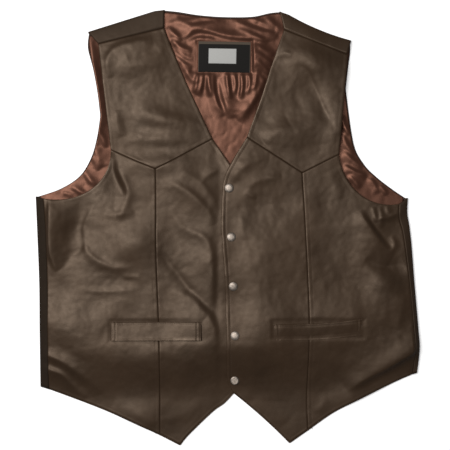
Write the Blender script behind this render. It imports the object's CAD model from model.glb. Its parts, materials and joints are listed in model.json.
# %% [markdown]
# A leather vest, snapped shut and laid flat on its back. This lesson builds it as a tailor cuts it:
# one back that turns over to the front, six front panels, two pocket welts, a satin lining, a label,
# snaps and stitching. Sizes are in millimetres, as on a pattern, and become metres when a mesh is
# made. X runs across the vest, Y from hem to neck, and Z up from the table. Left and right are the
# wearer's, so the wearer's right front lies at negative X.

# %% Load the frame
import json
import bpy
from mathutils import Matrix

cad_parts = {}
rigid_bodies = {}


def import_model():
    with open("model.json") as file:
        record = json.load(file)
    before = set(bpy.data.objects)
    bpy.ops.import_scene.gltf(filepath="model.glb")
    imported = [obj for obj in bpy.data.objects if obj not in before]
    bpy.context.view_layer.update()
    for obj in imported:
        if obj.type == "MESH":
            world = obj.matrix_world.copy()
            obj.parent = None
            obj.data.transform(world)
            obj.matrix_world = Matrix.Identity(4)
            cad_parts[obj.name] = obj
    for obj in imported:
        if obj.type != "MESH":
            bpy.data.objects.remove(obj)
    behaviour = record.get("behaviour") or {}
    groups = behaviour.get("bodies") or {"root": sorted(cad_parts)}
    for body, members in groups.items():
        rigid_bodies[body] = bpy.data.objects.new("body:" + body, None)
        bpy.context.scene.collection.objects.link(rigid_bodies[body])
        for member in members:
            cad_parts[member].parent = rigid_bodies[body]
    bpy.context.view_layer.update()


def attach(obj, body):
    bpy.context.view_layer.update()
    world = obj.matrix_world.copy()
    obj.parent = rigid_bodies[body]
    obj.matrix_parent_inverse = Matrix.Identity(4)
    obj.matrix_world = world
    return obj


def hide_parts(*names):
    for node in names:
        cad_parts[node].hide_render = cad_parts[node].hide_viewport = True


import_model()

from types import SimpleNamespace
from typing import NamedTuple

import bmesh
import bpy
import numpy as np
from mathutils import Matrix, Vector, noise

MM = 0.001

# %% [markdown]
# A pattern edge is drawn from a few points with a smooth curve through them. Bezier handles would
# also do, but a curve through its points needs none, and the points can be read off a flat garment.
# Each path here is a row of close points, so that every later step works on plain arrays.

# %% Paths


def line(start, end):
    """A straight path."""
    return np.array([start, end], float)


def spline(points, steps=14):
    """A smooth path through the points."""
    p = np.array(points, float)
    padded = np.vstack([p[0], p, p[-1]])
    t = np.linspace(0, 1, steps, endpoint=False)[:, None]
    spans = []
    for before, start, end, after in zip(padded, padded[1:], padded[2:], padded[3:]):
        leaving = (end - before) / 2
        arriving = (after - start) / 2
        cubic = (2 * start - 2 * end + leaving + arriving) * t**3
        square = (3 * end - 3 * start - 2 * leaving - arriving) * t**2
        spans.append(cubic + square + leaving * t + start)
    return np.vstack([*spans, p[-1]])


def bezier(points, steps=48):
    """A curve that starts and ends at the outer points and is pulled towards the two inner ones."""
    a, b, c, d = np.array(points, float)
    t = np.linspace(0, 1, steps)[:, None]
    return a * (1 - t) ** 3 + 3 * b * t * (1 - t) ** 2 + 3 * c * t**2 * (1 - t) + d * t**3


def bowed(start, end, sag, steps=24):
    """A line whose middle is pulled to the left of its direction by sag."""
    a, b = np.array([start, end], float)
    along = (b - a) / np.hypot(*(b - a))
    pulled = (a + b) / 2 + 2 * sag * np.array([-along[1], along[0]])
    t = np.linspace(0, 1, steps)[:, None]
    return a * (1 - t) ** 2 + 2 * pulled * t * (1 - t) + b * t**2


def along(path, share):
    """Places on a path at shares of its length."""
    walked = np.concatenate([[0], np.cumsum(np.hypot(*np.diff(path, axis=0).T))])
    return np.column_stack([np.interp(share, walked / walked[-1], path[:, k]) for k in (0, 1)])


def path_length(path):
    return np.hypot(*np.diff(path, axis=0).T).sum()


def nearest(path, x, y):
    """Distance from places to a path, its sign (left of the path is positive) and the share along it."""
    best = np.full(x.shape, np.inf)
    side = np.ones(x.shape)
    share = np.zeros(x.shape)
    walked = 0.0
    total = path_length(path)
    for (ax, ay), (bx, by) in zip(path, path[1:]):
        dx, dy = bx - ax, by - ay
        length = np.hypot(dx, dy)
        t = np.clip(((x - ax) * dx + (y - ay) * dy) / length**2, 0, 1)
        away = np.hypot(x - ax - t * dx, y - ay - t * dy)
        closer = away < best
        best = np.where(closer, away, best)
        side = np.where(closer, np.sign(dx * (y - ay) - dy * (x - ax)), side)
        share = np.where(closer, (walked + t * length) / total, share)
        walked += length
    return best, side, share


print("a line of 100 mm, bowed by 10, is", path_length(bowed((0, 0), (100, 0), 10)).round(1), "mm long")

# %% [markdown]
# A panel has four edges, and each edge may be made of runs that meet at a sharp corner. A Coons
# patch fills such an outline: it blends the four edges, so that lines of the grid follow them. That
# keeps the mesh running along the seams, as the grain and the stitching do.

# %% Outlines


def edge(*runs):
    """One edge of a panel: (share, path) runs in a row, each over its share of the edge."""

    def place(share):
        share = np.atleast_1d(np.asarray(share, float))
        out = np.empty((len(share), 2))
        start = 0.0
        for part, path in runs:
            here = share >= start - 1e-9
            out[here] = along(path, np.clip((share[here] - start) / part, 0, 1))
            start += part
        return out

    return place


def patch(bottom, top, left, right):
    """Fills four edges. u runs from left to right and v from bottom to top."""
    corners = [bottom(0), bottom(1), top(0), top(1)]

    def place(u, v):
        a, b = np.asarray(u, float)[:, None], np.asarray(v, float)[:, None]
        blended = bottom(u) * (1 - b) + top(u) * b + left(v) * (1 - a) + right(v) * a
        twice = corners[0] * (1 - a) * (1 - b) + corners[1] * a * (1 - b)
        return blended - twice - corners[2] * (1 - a) * b - corners[3] * a * b

    return place


def outline_points(outline, steps=160):
    """Points round the outline of a panel."""
    t = np.linspace(0, 1, steps, endpoint=False)
    zero, one = np.zeros(steps), np.ones(steps)
    return np.vstack([outline(t, zero), outline(one, t), outline(1 - t, one), outline(zero, 1 - t)])


def cut_size(outline):
    """Width, length and area of a panel's cut, in metres and square metres."""
    p = outline_points(outline)
    width, length = (p.max(axis=0) - p.min(axis=0)) * MM
    x, y = p.T * MM
    area = abs(np.dot(x, np.roll(y, -1)) - np.dot(y, np.roll(x, -1))) / 2
    return (float(width), float(length)), float(area)


corners = [(0, 0), (0, 500), (300, 0), (300, 500)]
pairs = [(0, 2), (1, 3), (0, 1), (2, 3)]
trial = patch(*(edge((1, line(corners[a], corners[b]))) for a, b in pairs))
print("a test piece of 300 by 500 mm has a cut of", cut_size(trial))

# %% [markdown]
# Two fronts of one vest are cut alike, but they never lie alike: one shoulder is a little lower here
# and one armhole is pulled in. Mirroring one side would save half of these numbers and would look
# wrong, so each front has its own. The outlines are the same as in the CAD source, because every
# cloth piece lies on the solid that it replaces. Two heights differ from it: here the points below
# the hem come down over a longer stretch, and the front under the lap lies a little less deep.

# %% Measurements
LEATHER = 1.4  # wall of the leather
SATIN = 1.0  # wall of the satin
GAP = 0.3  # between two layers that lie on each other
FOLD_RADIUS = 3.75  # of the roll at the sides and shoulders
FRONT_HEIGHT = 11  # of the outside of the fronts, in the middle
FOLD_RISE_WIDTH = 60  # from a fold inwards, until the front is that high
HEM_DROP = (-58, 26)  # from and to this far past the back's hem, a point comes down to the table
LAP_RISE = 1.7  # the lapping front runs this much higher at the closure
LAP_DROP = 1.1  # and the front under it this much lower
LAP_LOSS = 0.6  # share of both that is lost where the points lie on the table
LAP_SPAN_RIGHT = (-30, -13)  # X between which the right front sinks under the lap
LAP_SPAN_LEFT = (24, 55)  # X between which the left front comes down from it
CLOSURE = (-20, -8)  # X between which the right front's folds change into the left one's
WELT_PRESS = 0.9  # dent that the seam of a welt presses into the front
WELT_DENT = (-1, 6)  # distances from a welt between which that dent ends
WELT_CALM = (3, 20)  # distances from a welt between which creases come up to full height
FOLD_CALM = (-4, 12)  # the same from a side or shoulder fold
SEAM_LIFT_SPAN = (20, 60)  # distances from a side fold between which its lifted seam comes down
TIP_CALM = 0.5  # share of the folds that is lost where the points lie on the table

RIGHT = SimpleNamespace(
    sign=-1,
    seam_lift=2.6,
    side_y=[-240.5, -155, -85, 0, 45],
    side_fold=[-281.8, -283, -283.7, -287, -289],
    side_seam=[(-269.5, -244.5), (-270.3, -158), (-271, -88), (-273.5, -3), (-277.3, 42)],
    arm_fold=(-210.5, 292.3),
    neck_fold=(-96.3, 328.1),
    shoulder_sag=0,
    seam_arm=(-194.4, 273.7),
    seam_neck=(-96.1, 297.7),
    neckline=[(-23.4, 131.5), (-59.9, 209.6), (-86.7, 272.8), (-96.1, 297.7)],
    yoke_arm=(-175.6, 114.7),
    yoke_point=(-108.9, 85.9),
    yoke_neck=(-23.4, 131.5),
    scoop=[(-175.6, 114.7), (-175.6, 63.7), (-222.1, 32.2), (-277.3, 42)],
    back_arm_lower=[(-251.4, 56.9), (-223.2, 75.5), (-206.5, 102), (-197.5, 132), (-192.2, 166)],
    back_arm_upper=[(-192.2, 166), (-196.4, 201), (-203, 237), (-210.8, 268)],
    princess=[(-102.6, -313.9), (-103.2, -171.7), (-107.4, -57.8), (-108.9, 85.9)],
    tip=(-71.9, -329.6),
    hem=[(-185.4, -276.4)],
)
LEFT = SimpleNamespace(
    sign=1,
    seam_lift=0.4,
    side_y=[-220, -184, -150, -85, -30, 0, 20, 42.7],
    side_fold=[283.8, 287.8, 285.6, 280, 275.7, 272.4, 269.2, 270],
    side_seam=[
        (277.5, -222), (281, -186), (279, -153), (273, -89),
        (266.5, -36), (262, -7), (256.8, 12), (256.5, 33.7),
    ],
    arm_fold=(184.9, 279.4),
    neck_fold=(78.6, 325.7),
    shoulder_sag=-4.4,
    seam_arm=(179.1, 257.8),
    seam_neck=(83.9, 295.1),
    neckline=[(28.1, 133.9), (48.8, 190.4), (66, 244), (83.9, 295.1)],
    yoke_arm=(165.8, 107.9),
    yoke_point=(111.1, 80.5),
    yoke_neck=(28.1, 133.9),
    scoop=[(165.8, 107.9), (169.4, 69.7), (200.9, 24.7), (256.5, 33.7)],
    back_arm_lower=[(244.8, 57.2), (221.5, 75.5), (203.5, 94.5), (188.3, 126), (176.9, 206)],
    back_arm_upper=[(176.9, 206), (180.5, 239), (183.5, 262)],
    princess=[(120.3, -306.8), (118.7, -252.8), (121.5, -160), (118.7, -57.8), (111.1, 80.5)],
    tip=(92.4, -326.3),
    hem=[(156.6, -281.3), (192.6, -262.5), (246.6, -235.6)],
)
LAP_HEM = (8.1, -250.7)
LAP_CORNER = (-1, -233.3)
LAP_HEM_SAG = 2
LAP_STRAIGHT = [(-1, -233.3), (-4.4, -90.8), (-9.9, -5.3), (-9.1, 47.2)]
LAP_NECKLINE = [(-9.1, 47.2), (-6.5, 70), (3, 92.5), (28.1, 133.9)]
UNDER_HEM = (22.4, -237.8)
UNDER_MEETS_LAP = (7.1, -252.8)
UNDER_HEM_MIDDLE = [(-59.4, -314), (-23.4, -279.2), (-5.4, -266)]
UNDER_TOP = (22.4, 45.7)
UNDER_NECKLINE = [(22.4, 45.7), (15, 73), (2.9, 92.9), (-23.4, 131.5)]
BACK_NECK = [(-75, 322.5), (-45, 317.8), (-9, 315), (35, 315.2), (62, 320.6)]
WELTS = {
    "right": SimpleNamespace(x=-107.4, y=-156.2, length=136, height=28, turn=0.004, bow=0, tilt=1.5),
    "left": SimpleNamespace(x=134.5, y=-153.5, length=134, height=25, turn=0.055, bow=-3, tilt=-1.8),
}
LABEL = SimpleNamespace(x=-5.7, y=254.2, length=81, height=46, turn=-0.017, bow=0)
SNAPS = [(1.5, 57.4), (4.8, -15.7), (7.6, -89.5), (10.1, -162.7), (9.9, -231.2)]
print("across the side folds under the arms:", round(LEFT.side_fold[-1] - RIGHT.side_fold[-1]), "mm")

# %% [markdown]
# What makes leather look like leather on a flat vest is its creases. They could be left to a cloth
# simulation, but then they fall anywhere. Here each one is placed by hand, as a soft ridge or trough
# along a short path, with its own height and its own reach on either side: a narrow side is steep
# and a wide side is gentle. A positive rise is a ridge and a negative one a trough. The broad bulges
# between the creases are swells: an oval with a height, a place and a turn. A very wide crease could
# do the same, but it leaves a kink wherever its path bends.

# %% Creases


class Crease(NamedTuple):
    path: list
    rise: float
    left: float
    right: float


class Swell(NamedTuple):
    x: float
    y: float
    long: float
    short: float
    turn: float
    rise: float


# %% Creases of the right front
RIGHT_CREASES = [
    # under the arm: a long ridge by the side, its slope down to the pillow, and the pillow's rim
    Crease([(-267, 44), (-267, 21), (-267, -32), (-261, -54), (-254, -66)], 6, 18, 3.5),
    Crease([(-206, 36), (-221, 0), (-219, -30), (-238, -46), (-254, -66)], -2.2, 5, 12),
    Crease([(-198, 36), (-213, 14), (-218, -5), (-214, -32), (-202, -46), (-184, -57), (-166, -63),
            (-140, -60)], 2.4, 5, 8),
    # between the armhole and the princess seam
    Crease([(-174, 112), (-172, 88), (-167, 70), (-160, 56), (-158, 44)], -4.4, 4, 15),
    Crease([(-162, 100), (-166, 85), (-158, 74), (-151, 58), (-150, 44), (-160, 20), (-172, 17),
            (-184, 20)], 2.2, 6, 5),
    Crease([(-168, 17), (-156, 19), (-140, 21)], 1.4, 4, 6),
    Crease([(-218, -95), (-178, -97), (-128, -93)], 0.9, 3, 4),
    Crease([(-158, -77), (-145, -75), (-130, -76)], 0.8, 3, 3),
    # across the chest, towards the closure
    Crease([(-87, 32), (-79, 13), (-65, -3), (-50, -9), (-34, -18), (-26, -36), (-24, -60),
            (-23, -90), (-24, -124)], 2.1, 5, 11),
    Crease([(-104, -30), (-92, -52), (-77, -70), (-61, -91), (-42, -110), (-27, -125), (-12, -146)],
           -2.6, 6, 8),
    Crease([(-91, -97), (-68, -101), (-50, -110), (-27, -140), (-18, -159), (-17, -182)], 2.2, 6, 12),
    Crease([(-95, 67), (-72, 58), (-50, 44), (-30, 22), (-21, 2)], 2.3, 5, 12),
    Crease([(-75, 86), (-48, 70), (-26, 46), (-14, 24)], 1.4, 5, 9),
    Crease([(-9, 88), (-28, 79), (-42, 64)], 1.4, 5, 5),
    # beside and below the pocket
    Crease([(-306, -222), (-282, -213), (-262, -217), (-246, -225), (-229, -243), (-213, -258)], 4.5, 5, 8),
    Crease([(-310, -190), (-278, -192), (-247, -203), (-217, -226), (-190, -250)], 4.5, 9, 8),
    Crease([(-172, -266), (-140, -280), (-108, -298)], 3, 16, 12),
    Crease([(-95, -290), (-70, -285), (-40, -268)], 1.8, 10, 12),
    # on the yoke
    Crease([(-177, 222), (-181, 242), (-177, 257), (-166, 268), (-140, 276), (-113, 280)],
           2.4, 5, 9),
    Crease([(-150, 250), (-126, 258), (-105, 268)], -1.4, 7, 7),
    Crease([(-166, 175), (-165, 152), (-158, 134)], 1.8, 9, 6),
]
RIGHT_SWELLS = [
    Swell(-92, 159, 50, 15, -12, 4.6),
    Swell(-100, 131, 50, 11, 0, 3),
    Swell(-130, 248, 50, 28, 10, 6),
    Swell(-60, 215, 40, 90, 24, -5),
    Swell(-104, 94, 56, 13, 0, 3),
    Swell(-132, -292, 48, 26, 25, 5),
    Swell(-62, 62, 34, 30, -30, 4),
    Swell(-138, -28, 34, 32, 0, 6),
    Swell(-86, -205, 110, 50, 0, 8),
    Swell(-256, -150, 46, 32, -20, 6),
    Swell(-226, 0, 20, 52, -8, -5.5),
    Swell(-190, -160, 40, 40, 0, 2.5),
]
CLOSURE_SWELLS = [
    # these run on from the right front, under the lap, into the left one
    Swell(-24, -58, 32, 66, 0, 5.5),
    Swell(-34, -146, 50, 36, -25, 6),
]
print("right front:", len(RIGHT_CREASES), "creases,", len(RIGHT_SWELLS), "swells")

# %% Creases of the left front
LEFT_CREASES = [
    # on the yoke
    Crease([(98, 240), (110, 238), (120, 229), (131, 204), (142, 178), (152, 159), (160, 140)],
           -2.4, 4, 14),
    Crease([(92, 205), (106, 184), (122, 150)], -1.6, 12, 14),
    Crease([(52, 128), (70, 141), (92, 153)], 2.6, 12, 11),
    Crease([(70, 252), (84, 259), (96, 256)], 1, 3, 4),
    # by the closure
    Crease([(6, 66), (22, 88), (44, 100), (62, 102)], 2.2, 12, 8),
    Crease([(26, 56), (50, 70), (80, 74)], 1.8, 8, 8),
    Crease([(25, 53), (33, 47), (42, 43)], 1, 3, 3),
    Crease([(22, 16), (22, -3), (23, -20)], 1, 5, 7),
    Crease(
        [(43, 30), (47, -10), (50, -40), (51, -75), (52, -110), (54, -160), (50, -210), (48, -262)],
        9, 58, 34,
    ),
    # under the arm
    Crease([(196, 24), (200, 17), (220, -13), (239, -37), (248, -44)], 4.4, 5, 20),
    Crease([(205, 20), (224, -7), (239, -26), (247, -32)], -1.8, 4, 3),
    Crease([(243, -14), (249, -24), (247, -33), (240, -35)], 1.4, 3, 3),
    Crease([(216, 30), (219, 18), (221, 6)], 1.4, 3, 2),
    Crease([(226, 31), (229, 18), (230, 8)], 1.4, 3, 2),
    Crease([(237, 32), (239, 24), (240, 18)], 1.2, 3, 2),
    Crease([(260, 23), (243, 15), (230, 12), (228, 6), (233, 0)], 2.4, 4, 5),
    Crease([(206, -48), (224, -58), (243, -60), (262, -52)], -2.4, 9, 9),
    Crease([(262, -100), (259, -128), (250, -155)], 2.6, 8, 18),
    Crease([(150, 82), (160, 62), (166, 40)], 1.6, 9, 8),
    Crease([(135, 32), (153, 35)], -1, 8, 8),
    # beside and below the pocket
    Crease([(178, -246), (211, -225), (230, -215), (249, -204), (270, -191), (306, -172)],
           13, 26, 6),
    Crease([(205, -240), (230, -225), (262, -205)], -1.6, 8, 8),
    Crease([(266, -193), (270, -205), (277, -218)], 1.6, 4, 4),
    Crease([(150, -255), (142, -268), (132, -280)], 1.5, 8, 8),
    Crease([(40, -258), (62, -276), (84, -298)], 2, 12, 14),
]
LEFT_SWELLS = [
    Swell(126, 246, 46, 24, -20, 6.5),
    Swell(164, 150, 22, 36, -10, 3.5),
    Swell(98, 140, 46, 22, 18, 4),
    Swell(236, -86, 36, 20, -35, 5),
    Swell(205, -38, 22, 26, 0, 2.5),
    Swell(160, -138, 110, 36, 8, 6.5),
    Swell(206, -246, 46, 22, 28, 7),
    Swell(-30, -200, 90, 50, 0, 3),
    Swell(62, 84, 34, 26, 20, 2.5),
]
print("left front:", len(LEFT_CREASES), "creases,", len(LEFT_SWELLS), "swells")

# %% Creases of the satin
SATIN_CREASES = [
    # across the neck, above the label
    Crease([(-91, 290), (-66, 286), (-50, 295), (-27, 293), (-5, 287), (20, 284), (50, 281),
            (76, 284)], 3.6, 8, 3),
    Crease([(-93, 303), (-75, 307), (-55, 301), (-30, 304), (-4, 307)], 2.6, 3, 6),
    Crease([(-80, 313), (-60, 309), (-38, 313), (-12, 310)], 1.8, 3, 3),
    Crease([(-62, 276), (-40, 281), (-20, 279)], 1.8, 3, 4),
    Crease([(3, 310), (22, 303), (52, 292), (77, 288)], 2.8, 4, 5),
    Crease([(12, 298), (34, 289), (60, 276)], 2.2, 3, 4),
    Crease([(30, 312), (50, 306), (70, 297)], 2, 4, 3),
    Crease([(55, 314), (68, 304), (80, 291)], 2, 4, 4),
    # beside the label
    Crease([(-86, 281), (-70, 268), (-54, 263)], 3, 3, 4),
    Crease([(-80, 268), (-66, 256), (-52, 250)], 2.2, 4, 3),
    Crease([(-82, 258), (-68, 245), (-54, 238)], 2.6, 3, 5),
    Crease([(-72, 240), (-60, 232), (-50, 226)], 2, 3, 4),
    Crease([(43, 273), (56, 263), (69, 256)], 2.4, 4, 3),
    Crease([(42, 262), (54, 252), (66, 243)], 2.2, 3, 4),
    Crease([(42, 250), (52, 240), (62, 228)], 2.6, 3, 5),
    Crease([(40, 236), (48, 226), (56, 216)], 2, 3, 4),
    Crease([(-64, 232), (-55, 222), (-46, 214)], 2.2, 3, 4),
    Crease([(38, 280), (40, 256), (39, 230)], 4.5, 12, 2.5),
    Crease([(-92, 300), (-80, 288), (-70, 277)], 2.8, 3, 8),
    # hanging down from the label
    Crease([(-46, 232), (-47, 214), (-52, 200)], 3.4, 2.5, 3.5),
    Crease([(-38, 232), (-40, 213), (-45, 196)], 4, 2.5, 4),
    Crease([(-30, 232), (-29, 212), (-25, 195)], 3.2, 2.5, 3),
    Crease([(-23, 232), (-22, 205), (-16, 183), (-6, 166)], 4.4, 3, 8),
    Crease([(-12, 224), (-8, 204), (-2, 182), (4, 162)], 4.6, 14, 4),
    Crease([(-2, 232), (0, 210), (4, 190)], 4, 2.5, 3),
    Crease([(9, 232), (11, 212), (9, 197)], 3, 2.5, 3),
    Crease([(20, 232), (21, 210), (18, 190)], 4.2, 4, 2.5),
    Crease([(31, 232), (32, 213), (28, 198)], 3.4, 3, 2.5),
    Crease([(42, 232), (41, 215), (36, 203)], 3, 2.5, 3),
    Crease([(54, 222), (43, 200), (30, 178), (15, 158)], 5, 5, 14),
    # in the right armhole
    Crease([(-208, 292), (-203, 244), (-197, 200), (-192, 165), (-200, 120)], 7, 10, 3),
    Crease([(-236, 62), (-224, 53), (-210, 47)], 2.2, 4, 3),
    Crease([(-218, 86), (-208, 71), (-200, 60)], 2.2, 4, 3),
    Crease([(-207, 112), (-199, 96), (-194, 84)], 1.8, 3, 3),
    Crease([(-249, 52), (-240, 49), (-232, 46)], 1.6, 3, 3),
    Crease([(-200, 148), (-190, 136), (-183, 118)], 2, 4, 3),
    Crease([(-206, 128), (-197, 108), (-190, 88)], 3, 9, 3),
    # in the left armhole
    Crease([(170, 167), (175, 150), (181, 137)], 2.2, 3, 4),
    Crease([(174, 155), (181, 141), (189, 128)], 1.8, 3, 3),
    Crease([(171, 141), (178, 122), (190, 107)], 2.4, 3, 4),
    Crease([(173, 113), (186, 100), (202, 89)], 2.6, 3, 6),
    Crease([(173, 92), (190, 82), (208, 75)], 3.2, 3, 9),
    Crease([(182, 77), (191, 66), (198, 58)], 2.2, 4, 4),
    Crease([(212, 74), (220, 62), (226, 50)], 1.6, 3, 5),
    Crease([(228, 62), (234, 54), (238, 47)], 1.8, 3, 3),
]
SATIN_SWELLS = [Swell(-8, 254, 64, 30, 0, 6)]
print("satin:", len(SATIN_CREASES), "creases")

# %% Height of creases and swells
CREST = 1.4  # the crest of a crease is rounded over at least this far
SHARPNESS = 1.35  # 2 would be a bell, and 1 a tent
BROAD = 18  # a crease that reaches farther than this also runs on under a band
ROUND = 0.12  # and over at least this share of its width


def swell_height(swells, x, y):
    """Height of all swells at places: each is an oval bulge, turned by some degrees."""
    height = np.zeros(x.shape)
    for swell in swells:
        cos, sin = np.cos(np.radians(swell.turn)), np.sin(np.radians(swell.turn))
        lengthwise = ((x - swell.x) * cos + (y - swell.y) * sin) / swell.long
        sideways = ((y - swell.y) * cos - (x - swell.x) * sin) / swell.short
        height += swell.rise * np.exp(-(lengthwise**2) - sideways**2)
    return height


def crease_height(creases, x, y, loose):
    """Height of all creases at places. A crease fades out at both of its ends.

    loose is 0 where a band holds the cloth down and 1 where it is free."""
    height = np.zeros(x.shape)
    for crease in creases:
        path = spline(crease.path, 6)
        reach = 4 * max(crease.left, crease.right)
        low, high = path.min(axis=0) - reach, path.max(axis=0) + reach
        here = (x > low[0]) & (x < high[0]) & (y > low[1]) & (y < high[1])
        if not here.any():
            continue
        away, side, share = nearest(path, x[here], y[here])
        width = np.where(side > 0, crease.left, crease.right)
        fade = 1 - np.abs(2 * share - 1) ** 3
        rounding = np.maximum(CREST, ROUND * width)
        from_crest = (np.sqrt(away**2 + rounding**2) - rounding) / width
        free = 1 if max(crease.left, crease.right) > BROAD else loose[here]
        height[here] += crease.rise * np.exp(-(from_crest**SHARPNESS)) * fade * free
    return height


sample = np.array([0.0, 10.0, 20.0])
bulge = swell_height([Swell(0, 0, 10, 10, 0, 5)], sample, sample * 0)
print("a swell of 5 mm, 0, 10 and 20 mm from its middle:", bulge.round(1), "mm")

# %% [markdown]
# The fronts lie on the back like a thin cushion: low at the side and shoulder folds, level in the
# middle, and down on the table at the two points below the hem. One height function for a whole
# front, instead of one per panel, makes the panels meet at their seams without any fitting, and
# welts, snaps and stitches can be set on it anywhere. Under the lap the right front takes on the
# folds of the left one, so that it can't poke through.

# %% Helpers for the height


def smooth(start, end, value):
    """0 up to start, 1 from end, and an even rise between."""
    t = np.clip((value - start) / (end - start), 0, 1)
    return t * t * (3 - 2 * t)


def side_at(side, y):
    """X of a side fold at some Y."""
    return np.interp(y, side.side_y, side.side_fold)


def from_shoulder(side):
    """Direction from a shoulder fold down over the front."""
    along_fold = np.subtract(side.neck_fold, side.arm_fold)
    along_fold = along_fold / np.hypot(*along_fold)
    inward = np.array([along_fold[1], -along_fold[0]])
    return -inward if inward[1] > 0 else inward


def hem_distance(x, y):
    """How far places lie past the hem of the back."""
    slope = (LEFT.side_y[0] - RIGHT.side_y[0]) / (LEFT.side_fold[0] - RIGHT.side_fold[0])
    return RIGHT.side_y[0] + (x - RIGHT.side_fold[0]) * slope - y


def beside(band, x, y):
    """How far places lie outside a band such as a welt or the label."""
    return np.maximum(np.abs(x - band.x) - band.length / 2, np.abs(y - band.y) - band.height / 2)


print("a smooth step at a quarter of its way:", smooth(0, 1, 0.25))

# %% Small unevenness
CRUMPLES = [(76, 2.4), (34, 1.0), (15, 0.4), (7, 0.2)]  # sizes and heights in leather
SATIN_CRUMPLES = [(24, 1.1), (9, 0.4)]


def crumple(sizes, x, y):
    """The small unevenness of soft cloth: noise in a few sizes, the same on every run."""
    height = np.zeros(x.shape)
    for size, rise in sizes:
        height += rise * np.array([noise.noise((a / size, b / size, size)) for a, b in zip(x, y)])
    return height


print("sizes of unevenness in leather:", [size for size, _ in CRUMPLES], "mm")

# %% Height of the fronts
LABEL_CALM = (0, 3.5)  # distances from the label between which the satin's creases come up
THINNEST = 0.2  # the outside of a front is at least this far above its own wall


def front_height(side, x, y):
    """Height of the outside of a front at places."""
    x, y = np.atleast_1d(np.asarray(x, float)), np.atleast_1d(np.asarray(y, float))
    from_side = np.where(y < side.side_y[-1] + FOLD_RISE_WIDTH, np.abs(side_at(side, y) - x), np.inf)
    down_front = from_shoulder(side)
    shoulder = (x - side.arm_fold[0]) * down_front[0] + (y - side.arm_fold[1]) * down_front[1]
    from_fold = np.minimum(from_side, np.maximum(0, shoulder))
    inside = smooth(FOLD_RADIUS, FOLD_RISE_WIDTH, from_fold)
    if side is RIGHT:
        lap = -LAP_DROP * smooth(*LAP_SPAN_RIGHT, x)
        creases, swells, welt = RIGHT_CREASES, RIGHT_SWELLS, WELTS["right"]
    else:
        lap = LAP_RISE * (1 - smooth(*LAP_SPAN_LEFT, x))
        creases, swells, welt = LEFT_CREASES, LEFT_SWELLS, WELTS["left"]
    from_welt = beside(welt, x, y)
    loose = smooth(*WELT_CALM, from_welt)
    at_fold = 2 * FOLD_RADIUS + side.seam_lift * (1 - smooth(*SEAM_LIFT_SPAN, from_side))
    resting = at_fold + (FRONT_HEIGHT - at_fold) * inside
    down = smooth(*HEM_DROP, hem_distance(x, y))
    folds = crease_height(creases, x, y, loose) + swell_height(swells, x, y)
    folds = folds - WELT_PRESS * (1 - smooth(*WELT_DENT, from_welt))
    if side is RIGHT:
        over = crease_height(LEFT_CREASES, x, y, loose) + swell_height(LEFT_SWELLS, x, y)
        folds = folds + (over - folds) * smooth(*CLOSURE, x)
    folds = folds + swell_height(CLOSURE_SWELLS, x, y) + crumple(CRUMPLES, x, y)
    folds = folds * smooth(*FOLD_CALM, from_fold)
    height = resting * (1 - down) + (LEATHER + GAP) * down + lap * (1 - LAP_LOSS * down)
    return np.maximum(height + folds * (1 - TIP_CALM * down), LEATHER + THINNEST)


def lining_height(x, y):
    """Height of the outside of the satin at places."""
    x, y = np.asarray(x, float), np.asarray(y, float)
    loose = smooth(*LABEL_CALM, beside(LABEL, x, y))
    folds = crease_height(SATIN_CREASES, x, y, loose) + np.abs(crumple(SATIN_CRUMPLES, x, y)) * loose
    return LEATHER + GAP + SATIN + folds + swell_height(SATIN_SWELLS, x, y)


print("height at the chest:", front_height(LEFT, 150, 100).round(1), "mm")

# %% [markdown]
# An edge of a vest is never just a cut. Leather is turned under and topstitched, so a free edge is a
# soft roll, then a slightly puffed band, then a groove where the thread pulls the layers together.
# A pressed edge has a flatter band and a shallower groove, and a plain one has only its roll. A hem
# has a deeper roll. At a seam one edge is tucked under, and the other is lapped over it with the
# flatter band. The forms are added to the height by distance from the edge, and the grid gets a few
# close lines there. A fine grid all over would do too, but it would cost far more faces.

# %% Edge forms
TOPSTITCH = 6  # from the edge to the groove of the thread
FLATTER = 0.35  # share of the puffed band and its groove that a pressed, lapped or hemmed edge has


def edge_form(kind, away):
    """Height that an edge adds at a distance from it."""
    if kind == "tucked":
        return -0.7 * np.exp(-((away / 1.0) ** 2))
    rim = -1.2 * np.exp(-((away / 1.6) ** 2)) if kind == "hem" else -0.5 * np.exp(-((away / 0.7) ** 2))
    if kind == "plain":
        return rim
    strength = 1 if kind == "turned" else FLATTER
    puff = 0.22 * np.exp(-(((away - 2.6) / 1.6) ** 2))
    groove = -0.2 * np.exp(-(((away - TOPSTITCH) / 0.8) ** 2))
    return rim + strength * (puff + groove)


print("a turned edge, 0, 2.6 and 6 mm in:", edge_form("turned", np.array([0, 2.6, 6])).round(2), "mm")

# %% Lines of the grid
EDGE_WEAR = {"tucked": 0, "lapped": 0.25, "plain": 1, "pressed": 1, "turned": 1, "hem": 1}
EDGE_STEPS = np.array([0, 0.4, 0.9, 1.6, 2.6, 3.8, 5.0, 5.7, 6.4, 7.4])


def stations(length, step, fine=EDGE_STEPS):
    """Shares along a length: close together at both ends and about step apart between them."""
    middle = np.linspace(fine[-1], length - fine[-1], max(3, round((length - 2 * fine[-1]) / step) + 1))
    return np.concatenate([fine, middle[1:-1], length - fine[::-1]]) / length


print("a length of 100 mm gets", len(stations(100, 2.2)), "lines of the grid")

# %% [markdown]
# Cloth is a grid whose points are moved into place, with a Solidify modifier for its wall. A grid
# operator makes the faces, and the modifier keeps the wall even when a crease is changed. The wall
# grows inwards only, so the outside stays where the pattern says.

# %% A piece from a bmesh
made = {}


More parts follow.
